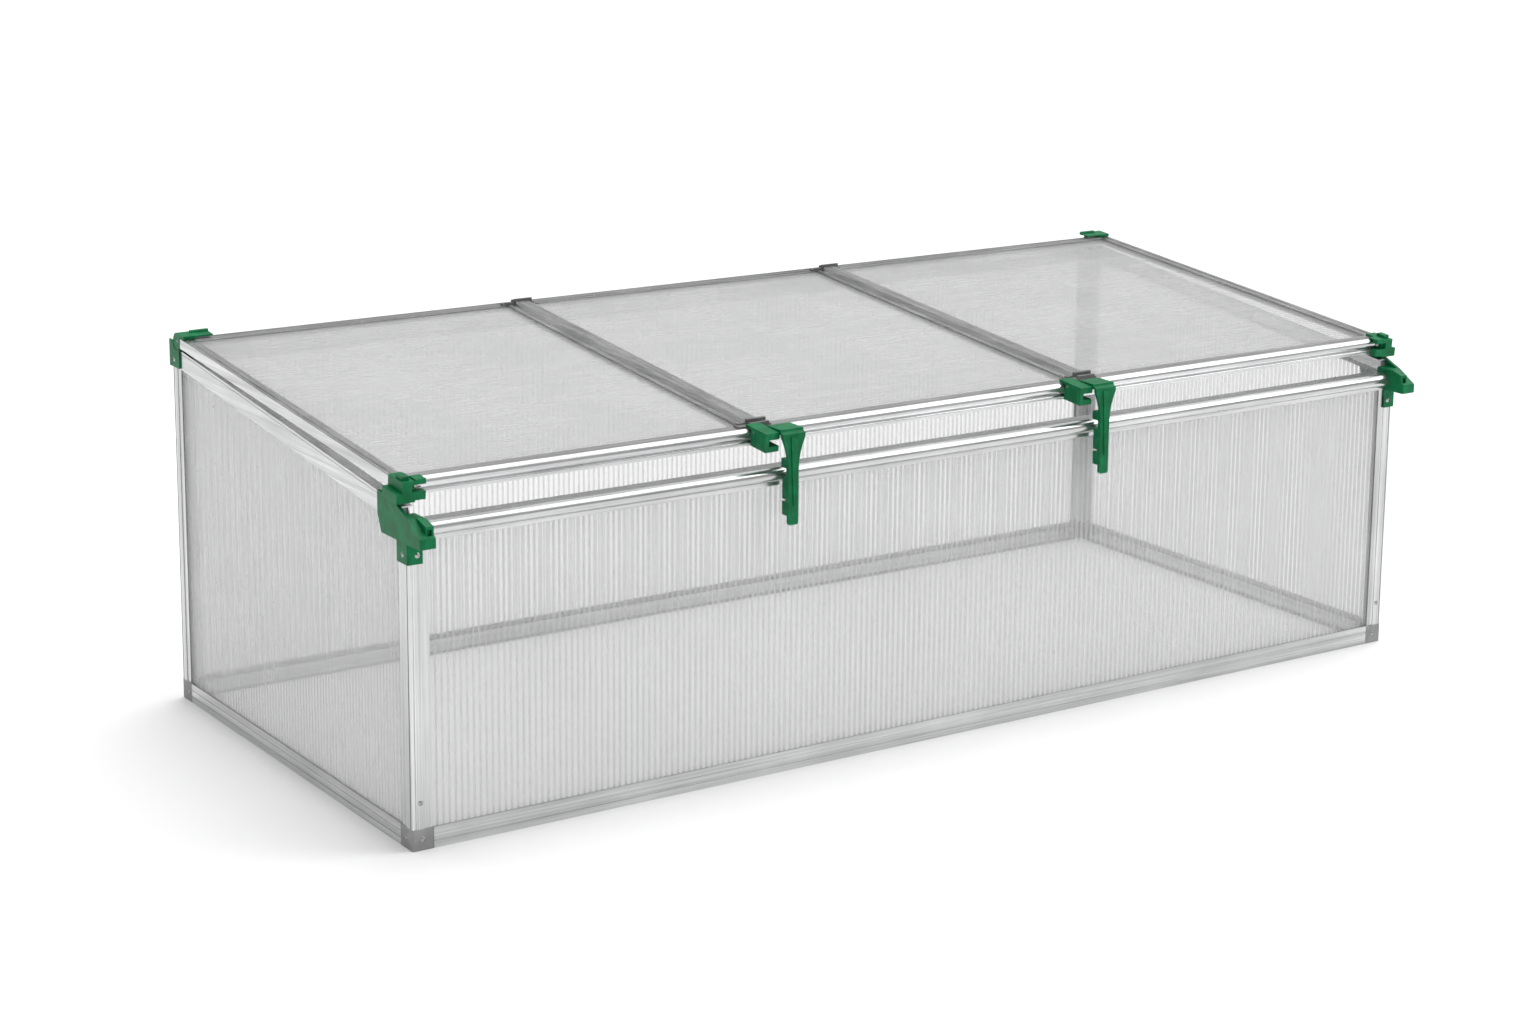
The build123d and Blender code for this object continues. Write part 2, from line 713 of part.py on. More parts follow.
def lid_cross_bars():
    """Bars between the panes: flanges over and under both panes and a raised hollow body."""
    front_end, rear_end = cross_bar_span()
    half = cross_bar_width / 2
    body_top = lid_top + cross_bar_rise
    for side, x in zip(SIDES, cross_bar_x):
        body_left = x - half + cross_body_start
        body_right = x + half - cross_body_margin
        with BuildPart() as piece:
            with BuildSketch(lid_face(rear_end)):
                block(x - half, x + half, pane_top + sheet_slack, lid_top)
                block(x - half, x + half, lid_bottom, pane_bottom - sheet_slack)
                block(x - wall / 2, x + wall / 2, lid_bottom, lid_top)
                block(x - half, x - half + lid_flange, lid_top, lid_top + lid_flange)
                Polygon((body_left, lid_top), (body_left + cross_body_slant, body_top),
                        (body_right, body_top), (body_right, lid_top), align=None)
                with Locations(((body_left + body_right) / 2, (lid_top + body_top - lid_flange) / 2)):
                    Rectangle(body_right - body_left - 2 * cross_body_wall, cross_bar_rise - lid_flange,
                              mode=Mode.SUBTRACT)
            extrude(amount=rear_end - front_end)
        save(piece.part, f"lid_cross_bar_{side}")


def pane_span():
    """Where the panes start and end along the slope."""
    return lid_bead_along + lid_bead_radius + sheet_slack, lid_rear_start + pane_grip


def lid_panes():
    """Three panes, each held between the bars by its edges."""
    front_end, rear_end = pane_span()
    half_web = wall / 2 + sheet_slack
    edge = lid_half_width - wall - sheet_slack
    spans = {
        "left": (-edge, cross_bar_x[0] - half_web),
        "middle": (cross_bar_x[0] + half_web, cross_bar_x[1] - half_web),
        "right": (cross_bar_x[1] + half_web, edge),
    }
    for name, (x0, x1) in spans.items():
        with BuildPart(LID) as piece:
            brick(x0, x1, front_end, rear_end, pane_bottom, pane_top)
        save(piece.part, f"lid_pane_{name}")


# ---- green caps, brackets, clips and screws of the lid ----

cap_front = lid_front_face - cap_forward
cap_rear = cap_front + cap_depth


def lid_front_caps():
    """Corner caps with two prongs round the end of the front bar's bead and a side foot."""
    out = -lid_half_width
    inner = -lid_inner_x
    prong_end = inner + prong_length
    prong_back = lid_front_face - cap_gap
    pad_top = cap_top + cap_pad
    boss_out = out + boss_inset
    boss_front = cap_front + boss_setback
    with BuildPart(LID) as piece:
        brick(out - cap_overhang, inner, cap_front, cap_rear, cap_bottom, prong_lower_top)
        brick(out, inner, cap_front, cap_rear, prong_lower_top, cap_top)
        brick(inner, prong_end, cap_front, prong_back, cap_bottom + prong_rise, prong_lower_top)
        brick(inner, prong_end, cap_front, prong_back, prong_upper_bottom, pad_top)
        brick(inner, prong_end, prong_back, lid_bead_along, lid_bead_top + cap_gap, pad_top)
        brick(boss_out, boss_out + boss_width, boss_front, boss_front + boss_length,
              cap_top, cap_top + boss_height)
        # the screw's pocket runs into the corner block
        brick(inner - screw_pocket_reach, inner, cap_front, lid_front_face - screw_pocket_reach,
              prong_lower_top, prong_upper_bottom, mode=Mode.SUBTRACT)
        # pocket for the corner of the outer pane
        brick(out + wall, inner, pane_span()[0] - sheet_slack, cap_rear,
              pane_bottom - sheet_slack, pane_top + sheet_slack, mode=Mode.SUBTRACT)
        along_edges = piece.edges().filter_by(Axis(lid_point(0, 0, 0), LID.y_dir))
        fillet(along_edges.group_by(Axis.X)[0], cap_edge_radius)
    save_both(piece, "lid_front_cap")


def lid_hinge_caps():
    """Drum round the hinge pin with a plate over the lid's rear corner and a raised ridge."""
    drum_out = -lid_half_width + drum_gap
    drum_in = -lid_inner_x + drum_past_bar
    drum_top = hinge_drum_radius
    plate_front = lid_rear_start + rear_ridge_inset + ridge_width + bar_seat
    lip_start = lid_rear_end + bar_seat
    with BuildPart() as piece:
        with BuildSketch(lid_section(drum_out)):
            Circle(hinge_drum_radius)
            Circle(hinge_pin_radius + running_fit, mode=Mode.SUBTRACT)
            block(plate_front, 0, lid_top + ridge_height + bar_seat, drum_top)
        extrude(amount=drum_in - drum_out)
        with BuildSketch(lid_section(drum_in)):
            block(plate_front, cut_past, drum_top - hinge_plate_thickness, drum_top)
            with Locations((-hinge_ridge_radius, drum_top)):
                Circle(hinge_ridge_radius)
            block(lip_start, lip_start + hinge_lip, drum_top - hinge_lip_height, drum_top)
        extrude(amount=hinge_plate_length)
    save_both(piece, "lid_hinge_cap")


def stay_xs():
    """Centre of each stay along the front bar."""
    return (cross_bar_x[0] + stay_offset_left, cross_bar_x[1] + stay_offset_right)


def stay_bracket_span(x):
    """Left and right ends of the bracket beside the stay at x."""
    right = x - stay_head_width / 2 - seam
    return right - bracket_width, right


def lid_screw_xs():
    """Where screws go into the front bar: one in each cap and one in each stay bracket."""
    xs = [side * (lid_inner_x - cap_screw_inset) for side in SIDES.values()]
    return xs + [stay_bracket_span(x)[0] + bracket_screw_place * bracket_width for x in stay_xs()]


stay_pin_along = lid_bead_along - stay_pin_forward
stay_pin_height = lid_bead_above + stay_pin_above


def stay_brackets():
    """C-shaped brackets on the front bar with a screw window and a lug for the stay's pin."""
    front = lid_front_face - bracket_forward
    back = lid_front_face - cap_gap
    for side, x in zip(SIDES, stay_xs()):
        left, right = stay_bracket_span(x)
        with BuildPart(LID) as piece:
            brick(left, right, front, back, bracket_bottom, bracket_top)
            brick(left, right, front, lid_bead_along + bracket_hook, lid_bead_top + cap_gap, bracket_top)
            brick(left + bracket_cheek, right, front, back, prong_lower_top, prong_upper_bottom,
                  mode=Mode.SUBTRACT)
            with BuildSketch(lid_section(left - cut_past)):
                with Locations((stay_pin_along, stay_pin_height)):
                    Circle(stay_pin_radius + pin_fit)
            extrude(amount=bracket_width + 2 * cut_past, mode=Mode.SUBTRACT)
        save(piece.part, f"stay_bracket_{side}")


def stay_pins():
    """A pin through each bracket that runs on through the head of its stay."""
    pins = []
    for x in stay_xs():
        left = stay_bracket_span(x)[0]
        end = x + stay_head_width / 2 - cut_past
        with BuildPart() as piece:
            with BuildSketch(lid_section(left)):
                with Locations((stay_pin_along, stay_pin_height)):
                    Circle(stay_pin_radius)
            extrude(amount=end - left)
        pins.append(piece.part)
    save(Compound(children=pins), "stay_pins")


def pane_clip(x, near, reach, name):
    """One clip on the cross bar at x: a plate with a wall against the bar's end and a far lip."""
    left = x - clip_width / 2
    right = x + clip_width / 2
    step = x - cross_bar_width / 2 + cross_body_start
    end_wall = near + reach / 3
    lip = near + reach * 2 / 3
    shoulder = lid_top + clip_thickness + lid_flange
    ridge_start = lid_rear_start + rear_ridge_inset - bar_seat
    with BuildPart(LID) as piece:
        brick(left, right, near, near + reach, lid_top, lid_top + clip_thickness)
        brick(step, right - clip_edge, near, end_wall, lid_top, lid_top + cross_bar_rise + clip_rise)
        brick(left + clip_edge, step, near, end_wall, lid_top, shoulder)
        brick(step, right - clip_edge, lip, near + reach, lid_top, lid_top + cross_bar_rise)
        # room for the ridge along the rear bar
        brick(left - cut_past, right + cut_past, ridge_start, ridge_start + ridge_width + 2 * bar_seat,
              lid_top, lid_top + ridge_height + bar_seat, mode=Mode.SUBTRACT)
    save(piece.part, name)


def pane_clips():
    """Grey plastic clips that close both ends of each cross bar."""
    front_end, rear_end = cross_bar_span()
    for side, x in zip(SIDES, cross_bar_x):
        pane_clip(x, front_end - clip_gap, -front_clip_length, f"pane_clip_front_{side}")
        pane_clip(x, rear_end + clip_gap, rear_clip_length, f"pane_clip_rear_{side}")


def lid_screws():
    """Pan-head screws through the front bar's bead, all pointing back along the slope."""
    on_base = (Align.CENTER, Align.CENTER, Align.MIN)
    below_base = (Align.CENTER, Align.CENTER, Align.MAX)
    screws = []
    for x in lid_screw_xs():
        with BuildPart() as piece:
            Cylinder(screw_head_radius, screw_head_height, align=on_base)
            fillet(piece.edges().group_by(Axis.Z)[-1], screw_head_height / 2)
            Cylinder(screw_shank_radius, 2 * lid_bead_wall, align=below_base)
            with BuildSketch(Plane.XY.offset(screw_head_height)):
                Rectangle(screw_head_radius * 1.2, screw_slot)
                Rectangle(screw_slot, screw_head_radius * 1.2)
            extrude(amount=-screw_head_height / 2, mode=Mode.SUBTRACT)
        head_seat = lid_point(x, lid_front_face - pin_fit, lid_bead_above)
        place = Plane(origin=head_seat, x_dir=LID.x_dir, z_dir=-LID.y_dir)
        screws.append(piece.part.moved(Location(place)))
    save(Compound(children=screws), "lid_screws")


# ---- stays ----

def stay_side_profile(stem_front, stem_back):
    """Hood over the pin, drawn from the side: a barrel joined to the top of the stem."""
    pivot = lid_point(0, stay_pin_along, stay_pin_height)
    top = pivot.Z + stay_barrel_radius
    low = pivot.Z - stay_flare_drop
    corner = stay_hood_radius
    with Locations((pivot.Y, pivot.Z)):
        Circle(stay_barrel_radius)
    with BuildLine() as outline:
        Polyline((pivot.Y, top), (stem_front + corner, top))
        RadiusArc((stem_front + corner, top), (stem_front, top - corner), corner)
        Polyline((stem_front, top - corner), (stem_front, low), (stem_back, low),
                 (stem_back, pivot.Z), (pivot.Y, pivot.Z), (pivot.Y, top))
    make_face(outline.edges())


def stay_front_profile(foot, flare_start):
    """Front plate: a straight stem with chamfered foot that flares out to the head."""
    half_head = stay_head_width / 2
    half_stem = stay_stem_width / 2
    flare_end = flare_start - stay_flare_length
    foot_in = half_stem - stay_foot_chamfer
    foot_up = foot + stay_foot_chamfer
    with BuildLine() as outline:
        Polyline((-half_stem, flare_end), (-half_stem, foot_up), (-foot_in, foot),
                 (foot_in, foot), (half_stem, foot_up), (half_stem, flare_end))
        TangentArc((half_stem, flare_end), (half_head, flare_start), tangent=(0, 1))
        Line((half_head, flare_start), (-half_head, flare_start))
        TangentArc((-half_stem, flare_end), (-half_head, flare_start), tangent=(0, 1))
    make_face(outline.edges())


def stay_web_profile(pivot, stem_back, web_back, foot):
    """Web behind the stem, seen from the side: a tooth, a notch and two blocks with a slit."""
    tooth_top = pivot.Z - catch_tooth_drop
    tooth_bottom = tooth_top - catch_tooth_height
    upper_top = tooth_bottom - catch_notch_height
    upper_bottom = upper_top - catch_block_height
    lower_top = upper_bottom - catch_slit_height
    spine_back = web_back - catch_notch_depth
    block(stem_back, spine_back, foot + stay_web_end, pivot.Z - stay_flare_drop)
    block(stem_back, web_back + catch_block_reach, tooth_bottom, tooth_top)
    block(stem_back, web_back, upper_bottom, upper_top)
    block(stem_back, web_back, foot + stay_web_end, lower_top)


def stays():
    """Notched stays: a hood on the pin, a flared plate and stem, a rib and a toothed web."""
    pivot = lid_point(0, stay_pin_along, stay_pin_height)
    web_back = bead_front - stay_clearance
    stem_back = web_back - stay_web_depth
    stem_front = stem_back - stay_stem_thickness
    foot = pivot.Z - stay_length
    flare_start = pivot.Z - stay_flare_drop
    rib_end = flare_start - stay_rib_length
    rib_top = flare_start + stay_stem_thickness / 2
    for side, x in zip(SIDES, stay_xs()):
        left = x - stay_head_width / 2
        front_face = Plane(origin=(x, stem_front, 0), x_dir=(1, 0, 0), z_dir=(0, -1, 0))
        with BuildPart() as piece:
            with BuildSketch(Plane.YZ.offset(left)):
                stay_side_profile(stem_front, stem_back)
            extrude(amount=stay_head_width)
            with BuildSketch(front_face):
                stay_front_profile(foot, flare_start)
            extrude(amount=-stay_stem_thickness)
            with BuildSketch(front_face):
                Polygon((-stay_hood_radius, rib_top), (stay_hood_radius, rib_top),
                        (wall / 2, rib_end), (-wall / 2, rib_end), align=None)
            extrude(amount=stay_rib_height, taper=12)
            with BuildSketch(Plane.YZ.offset(x - stay_stem_width / 2)):
                stay_web_profile(pivot, stem_back, web_back, foot)
            extrude(amount=stay_web_width)
            with BuildSketch(Plane.YZ.offset(left - cut_past)):
                with Locations((pivot.Y, pivot.Z)):
                    Circle(stay_pin_radius + running_fit)
            extrude(amount=stay_head_width + 2 * cut_past, mode=Mode.SUBTRACT)
        save(piece.part, f"stay_{side}")


os.makedirs("parts", exist_ok=True)
bottom_rails()
bottom_brackets()
posts()
rivets()
front_top_bar()
rear_top_bar()
side_top_rails()
wall_sheets()
front_fittings()
rear_fittings()
hinge_pins()
lid_front_bar()
lid_rear_bar()
lid_side_bars()
lid_cross_bars()
lid_panes()
lid_front_caps()
lid_hinge_caps()
stay_brackets()
stay_pins()
pane_clips()
lid_screws()
stays()
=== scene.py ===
# %% [markdown]
# # Dressing a cold frame
# The object is a long, low growing frame: thin aluminium bars hold clear twin-wall sheet, and a
# hinged lid of three panes lies over the top on green plastic corner fittings. Its solid model is
# already packed, with every bar, fitting and rivet as a node of its own. This lesson loads those
# nodes, swaps the plain plates for real hollow sheet, and gives every surface a finish.

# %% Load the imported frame
import math

import bmesh
import bpy
from mathutils import Matrix, Vector


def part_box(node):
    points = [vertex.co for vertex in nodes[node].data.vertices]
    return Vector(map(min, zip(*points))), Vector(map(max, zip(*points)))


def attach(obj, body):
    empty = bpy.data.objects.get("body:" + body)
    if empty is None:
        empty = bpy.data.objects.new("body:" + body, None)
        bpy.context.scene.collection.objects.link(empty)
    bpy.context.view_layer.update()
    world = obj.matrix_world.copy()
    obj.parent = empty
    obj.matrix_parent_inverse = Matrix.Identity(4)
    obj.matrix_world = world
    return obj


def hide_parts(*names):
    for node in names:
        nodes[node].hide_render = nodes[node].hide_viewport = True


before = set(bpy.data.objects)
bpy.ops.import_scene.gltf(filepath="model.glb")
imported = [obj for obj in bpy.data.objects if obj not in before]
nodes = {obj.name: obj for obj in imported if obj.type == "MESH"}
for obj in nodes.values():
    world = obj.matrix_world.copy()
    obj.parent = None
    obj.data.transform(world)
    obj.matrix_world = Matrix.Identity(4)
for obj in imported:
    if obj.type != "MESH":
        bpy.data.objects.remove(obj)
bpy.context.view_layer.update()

# %% [markdown]
# ## The camera
# A product view is taken from far away with a long lens, so that upright posts stay nearly
# upright. Turning the camera by three angles is easier to adjust than a full matrix, so the
# angles are kept by name and the matrix is worked out from them. A small vertical shift slides
# the picture without tilting the camera further.

# %% Place the camera
CAMERA_PLACE = Vector((-2.2115, -3.2101, 1.2619))
CAMERA_TURN = 0.58821
CAMERA_DIP = 0.21085
CAMERA_ROLL = 0.00922
CAMERA_LENS = 71.26
CAMERA_SHIFT = -0.10
CAMERA_SENSOR = 36
CAMERA_REACH = 200


def camera_axes(turn, dip, roll):
    """Right, up and forward of a camera turned about the vertical, dipped and then rolled."""
    forward = Vector((math.sin(turn) * math.cos(dip), math.cos(turn) * math.cos(dip), -math.sin(dip)))
    level_right = forward.cross(Vector((0, 0, 1))).normalized()
    level_up = level_right.cross(forward)
    right = level_right * math.cos(roll) + level_up * math.sin(roll)
    up = level_up * math.cos(roll) - level_right * math.sin(roll)
    return right, up, forward


camera = bpy.data.objects.new("studio_camera", bpy.data.cameras.new("studio_camera"))
bpy.context.scene.collection.objects.link(camera)
right, up, forward = camera_axes(CAMERA_TURN, CAMERA_DIP, CAMERA_ROLL)
camera.matrix_world = Matrix.Translation(CAMERA_PLACE) @ Matrix((right, up, -forward)).transposed().to_4x4()
camera.data.sensor_width = CAMERA_SENSOR
camera.data.lens = CAMERA_LENS
camera.data.shift_y = CAMERA_SHIFT
camera.data.clip_end = CAMERA_REACH
bpy.context.scene.camera = camera

# %% [markdown]
# ## Writing shaders as sums
# A finish is a small tree of nodes. Writing each node by hand is slow to read, so a thin class
# wraps a socket and lets Python's own operators add the Math nodes. `1 - mask` and `mask * 0.3`
# then read like the sums they are, and one method makes every other kind of node.

# %% Socket sums and a finish builder
class Value:
    """A number that varies over a surface, usable in Python sums."""

    def __init__(self, tree, socket):
        self.tree = tree
        self.socket = socket

    def math(self, operation, first, second):
        node = self.tree.nodes.new("ShaderNodeMath")
        node.operation = operation
        for socket, value in zip(node.inputs, (first, second)):
            plug(self.tree, socket, value)
        return Value(self.tree, node.outputs[0])

    def __add__(self, other):
        return self.math("ADD", self, other)

    def __sub__(self, other):
        return self.math("SUBTRACT", self, other)

    def __rsub__(self, other):
        return self.math("SUBTRACT", other, self)

    def __mul__(self, other):
        return self.math("MULTIPLY", self, other)

    __radd__ = __add__
    __rmul__ = __mul__


def plug(tree, socket, value):
    """Put a plain value into a socket, or link another socket to it."""
    if isinstance(value, Value):
        tree.links.new(value.socket, socket)
    else:
        socket.default_value = value


class Finish:
    """A material being built, with one method that makes any node."""

    def __init__(self, name):
        self.material = bpy.data.materials.new(name)
        self.material.use_nodes = True
        self.tree = self.material.node_tree
        self.shader = self.tree.nodes["Principled BSDF"]

    def node(self, kind, settings, inputs, output=0):
        made = self.tree.nodes.new(kind)
        for key, value in settings.items():
            setattr(made, key, value)
        for key, value in inputs.items():
            plug(self.tree, made.inputs[key], value)
        return Value(self.tree, made.outputs[output])

    def place(self, scale=(1, 1, 1)):
        """Where a point is on the object, stretched by a scale for each axis."""
        here = self.node("ShaderNodeTexCoord", {}, {}, output="Object")
        return self.node("ShaderNodeMapping", {}, {"Vector": here, "Scale": scale})

    def noise(self, size, scale=(1, 1, 1), detail=3.0, roughness=0.5):
        """Cloudy variation about 0.5, with features of about the given size in metres."""
        return self.node("ShaderNodeTexNoise", {}, {
            "Vector": self.place(scale), "Scale": 1 / size, "Detail": detail, "Roughness": roughness})

    def ramp(self, value, low, high):
        """0 below low, 1 above high and a straight run between."""
        return self.node("ShaderNodeMapRange", {}, {"Value": value, "From Min": low, "From Max": high})

    def blend(self, amount, first, second):
        """One colour turning into another by an amount from 0 to 1."""
        return self.node("ShaderNodeMix", {"data_type": "RGBA"}, {0: amount, 6: first, 7: second}, output=2)

    def bump(self, height, distance):
        return self.node("ShaderNodeBump", {}, {"Height": height, "Distance": distance, "Strength": 1.0})

    def set(self, **sockets):
        for name, value in sockets.items():
            plug(self.tree, self.shader.inputs[name.replace("_", " ")], value)
        return self.material


def grey(level, tint=(1.0, 1.0, 1.0)):
    """A near-grey colour with a slight tint."""
    return (level * tint[0], level * tint[1], level * tint[2], 1)


print("shader helpers ready")

# %% [markdown]
# ## Mill-finish aluminium
# The bars are extrusions straight off the press: bright, slightly dull in cloudy patches, with
# very fine die lines that run along the bar. Stretching a noise along the bar gives those lines.
# The stretch has to follow the bar, so the same recipe is made three times, once for each axis.

# %% Aluminium for each direction
ALONG_STRETCH = 0.008
COOL = (0.985, 0.995, 1.0)


def mill_aluminium(name, along):
    """Bright extruded aluminium with die lines along one axis: 0 for X, 1 for Y, 2 for Z."""
    finish = Finish(name)
    stretch = [1.0, 1.0, 1.0]
    stretch[along] = ALONG_STRETCH
    lines = finish.noise(0.0012, stretch, detail=4, roughness=0.6)
    bands = finish.noise(0.006, stretch, detail=2)
    clouds = finish.noise(0.09, detail=4)
    specks = finish.ramp(finish.noise(0.0035, detail=2), 0.70, 0.78)
    tone = clouds * 0.16 + lines * 0.42 + bands * 0.42
    colour = finish.blend(finish.ramp(tone, 0.36, 0.64), grey(0.38, COOL), grey(0.74, COOL))
    dull = lines * 0.10 + clouds * 0.08 + specks * 0.10 + 0.13
    relief = finish.bump(lines * 0.7 + bands * 0.3, 0.00012)
    return finish.set(Base_Color=colour, Metallic=0.92, Roughness=dull, Normal=relief)


aluminium = {axis: mill_aluminium(f"mill_aluminium_{axis}", i) for i, axis in enumerate("xyz")}
print("aluminium finishes:", len(aluminium))

# %% [markdown]
# ## Moulded plastics and plated fixings
# The corner fittings and stays are one moulded green plastic with a fine satin grain, and faint pale
# streaks that are partly handling wear and partly a painted sheen standing in for edge highlights.
# Brackets and clips are two greys of the same kind. Rivets and screws are plated steel, with small dull
# spots.

# %% Plastics and steel
GREEN_DEEP = (0.001, 0.120, 0.040, 1)
GREEN_LIGHT = (0.002, 0.205, 0.075, 1)
PLASTIC_SPECULAR = 0.15


def moulded_plastic(name, deep, light, gloss):
    """Moulded plastic with a satin grain, cloudy tone and faint pale streaks, part wear and part painted
    sheen.
    """
    finish = Finish(name)
    clouds = finish.noise(0.018, detail=3)
    grain = finish.noise(0.0006, detail=2)
    # Pale streaks that lift the colour toward the lighter tone: partly handling wear, partly a painted sheen
    # for edge highlights.
    wear_and_sheen = finish.ramp(finish.noise(0.004, (1, 1, 0.25), detail=4), 0.60, 0.76)
    colour = finish.blend(finish.ramp(clouds * 0.75 + wear_and_sheen * 0.4, 0.30, 0.62), deep, light)
    dull = gloss + grain * 0.16 + wear_and_sheen * 0.10
    relief = finish.bump(grain + clouds * 0.6, 0.00010)
    return finish.set(Base_Color=colour, Roughness=dull, Normal=relief, Specular_IOR_Level=PLASTIC_SPECULAR)


def plated_steel(name):
    """Plated steel with dull spots and a slight grain."""
    finish = Finish(name)
    spots = finish.ramp(finish.noise(0.0012, detail=3), 0.52, 0.68)
    colour = finish.blend(spots, grey(0.42), grey(0.26, (1.0, 0.98, 0.95)))
    relief = finish.bump(finish.noise(0.0008), 0.00005)
    return finish.set(Base_Color=colour, Metallic=0.95, Roughness=spots * 0.22 + 0.18, Normal=relief)


green_plastic = moulded_plastic("moulded_green", GREEN_DEEP, GREEN_LIGHT, 0.30)
bracket_grey = moulded_plastic("moulded_bracket_grey", grey(0.26), grey(0.36), 0.42)
clip_grey = moulded_plastic("moulded_clip_grey", grey(0.13), grey(0.21), 0.38)
fixing_steel = plated_steel("plated_steel")
print("plastics and steel ready")

# %% [markdown]
# ## Give each bar, fitting and fixing its finish
# A solid whose shape is already right only needs a better material in its slots. The list of
# name beginnings says which family a node belongs to, and the long bars are told apart by the
# axis that they run along.

# %% Assign the finishes
FINISH_BY_START = [
    ("bottom_bracket", bracket_grey), ("pane_clip", clip_grey),
    ("front_fitting", green_plastic), ("rear_fitting", green_plastic), ("lid_front_cap", green_plastic),
    ("lid_hinge_cap", green_plastic), ("stay_bracket", green_plastic), ("stay_pins", fixing_steel),
    ("stay_", green_plastic), ("bracket_rivets", fixing_steel), ("post_rivets", fixing_steel),
    ("fitting_rivets", fixing_steel), ("hinge_pins", fixing_steel), ("lid_screws", fixing_steel),
]
SHEET_NODES = [name for name in nodes if name.startswith(("wall_sheet", "lid_pane"))]


def finish_for(name):
    """The material for a node: by family, or aluminium along the bar's longest side."""
    for start, material in FINISH_BY_START:
        if name.startswith(start):
            return material
    low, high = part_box(name)
    size = high - low
    return aluminium["xyz"[max(range(3), key=lambda i: size[i])]]


counts = {}
for name, node in nodes.items():
    if name not in SHEET_NODES:
        material = finish_for(name)
        if not node.material_slots:
            node.data.materials.append(material)
        for material_slot in node.material_slots:
            material_slot.material = material
        counts[material.name] = counts.get(material.name, 0) + 1
print("nodes per finish:", counts)

# %% [markdown]
# ## Clear twin-wall sheet
# Twin-wall sheet is two thin skins joined by a rib every few millimetres. The ribs are what one
# sees: close, pale lines that turn a view through the wall into soft streaks. A flat picture of
# lines would slide and flatten out at an angle, so the channels are built for real.
#
# The clear plastic is a surface that lets most light straight through and scatters the rest.
# Each skin has two faces, so a face needs only a little cover for the whole sheet to look milky.
# The ribs are seen edge on and look whiter, so they carry a mark that gives them more cover.

# %% The clear plastic
SKIN_COVER = 0.135
RIB_COVER = 0.30
RIB_MARK = "rib"
STREAK_STRETCH = 0.02


def clear_plastic(name, along):
    """Thin clear plastic: mostly see-through, with drawn streaks, haze and dust."""
    finish = Finish(name)
    stretch = [1.0, 1.0, 1.0]
    stretch[along] = STREAK_STRETCH
    streaks = finish.noise(0.004, stretch, detail=3, roughness=0.6)
    haze = finish.noise(0.16, detail=3)
    dust = finish.ramp(finish.noise(0.0022, detail=2), 0.66, 0.76)
    rib = finish.node("ShaderNodeAttribute", {"attribute_name": RIB_MARK}, {}, output="Fac")
    tone = finish.ramp(streaks * 0.5 + haze * 0.5, 0.38, 0.62)
    skin_colour = finish.blend(tone, grey(0.66, COOL), grey(0.73, COOL))
    rib_colour = finish.blend(tone, grey(0.75), grey(0.82))
    colour = finish.blend(rib, skin_colour, rib_colour)
    cover = rib * (RIB_COVER - SKIN_COVER) + SKIN_COVER
    cover_here = (streaks * 0.3 + haze * 0.3 + dust * 0.2 + 0.68) * cover
    dull = streaks * 0.12 + dust * 0.2 + 0.12
    relief = finish.bump(streaks, 0.00003)
    return finish.set(Base_Color=colour, Alpha=cover_here, Roughness=dull, Normal=relief)


wall_plastic = clear_plastic("clear_wall_plastic", 2)
lid_plastic = clear_plastic("clear_lid_plastic", 0)
print("clear plastic ready")

# %% [markdown]
# ## Ribs by Geometry Nodes
# Everything about the ribs follows one rule, so a node tree makes them: a line of points at the
# rib spacing, and a thin slat standing on each point. On the side walls the top edge slopes, so
# each slat asks where it stands and takes its height from that.

# %% Build the rib tree
RIB_INPUTS = [
    ("Geometry", "NodeSocketGeometry"), ("Rib Count", "NodeSocketInt"), ("First Rib", "NodeSocketFloat"),
    ("Spacing", "NodeSocketFloat"), ("Rib Thickness", "NodeSocketFloat"), ("Rib Depth", "NodeSocketFloat"),
    ("Middle", "NodeSocketFloat"), ("Bottom", "NodeSocketFloat"), ("Start", "NodeSocketFloat"),
    ("Start Top", "NodeSocketFloat"), ("Rise", "NodeSocketFloat"), ("Material", "NodeSocketMaterial"),
]


class RibTree:
    """A Geometry Nodes tree with one method for nodes and one for sums."""

    def __init__(self, name, inputs):
        self.tree = bpy.data.node_groups.new(name, "GeometryNodeTree")
        self.identifiers = {}
        for title, kind in inputs:
            socket = self.tree.interface.new_socket(name=title, in_out="INPUT", socket_type=kind)
            self.identifiers[title] = socket.identifier
        self.tree.interface.new_socket(name="Geometry", in_out="OUTPUT", socket_type="NodeSocketGeometry")
        self.given = self.tree.nodes.new("NodeGroupInput").outputs
        self.result = self.tree.nodes.new("NodeGroupOutput").inputs[0]

    def node(self, kind, inputs, **settings):
        made = self.tree.nodes.new(kind)
        for key, value in settings.items():
            setattr(made, key, value)
        for key, value in inputs.items():
            if isinstance(value, bpy.types.NodeSocket):
                self.tree.links.new(value, made.inputs[key])
            else:
                made.inputs[key].default_value = value
        return made.outputs

    def sum(self, operation, first, second):
        return self.node("ShaderNodeMath", {0: first, 1: second}, operation=operation)[0]

    def vector(self, x, y, z):
        return self.node("ShaderNodeCombineXYZ", {0: x, 1: y, 2: z})[0]


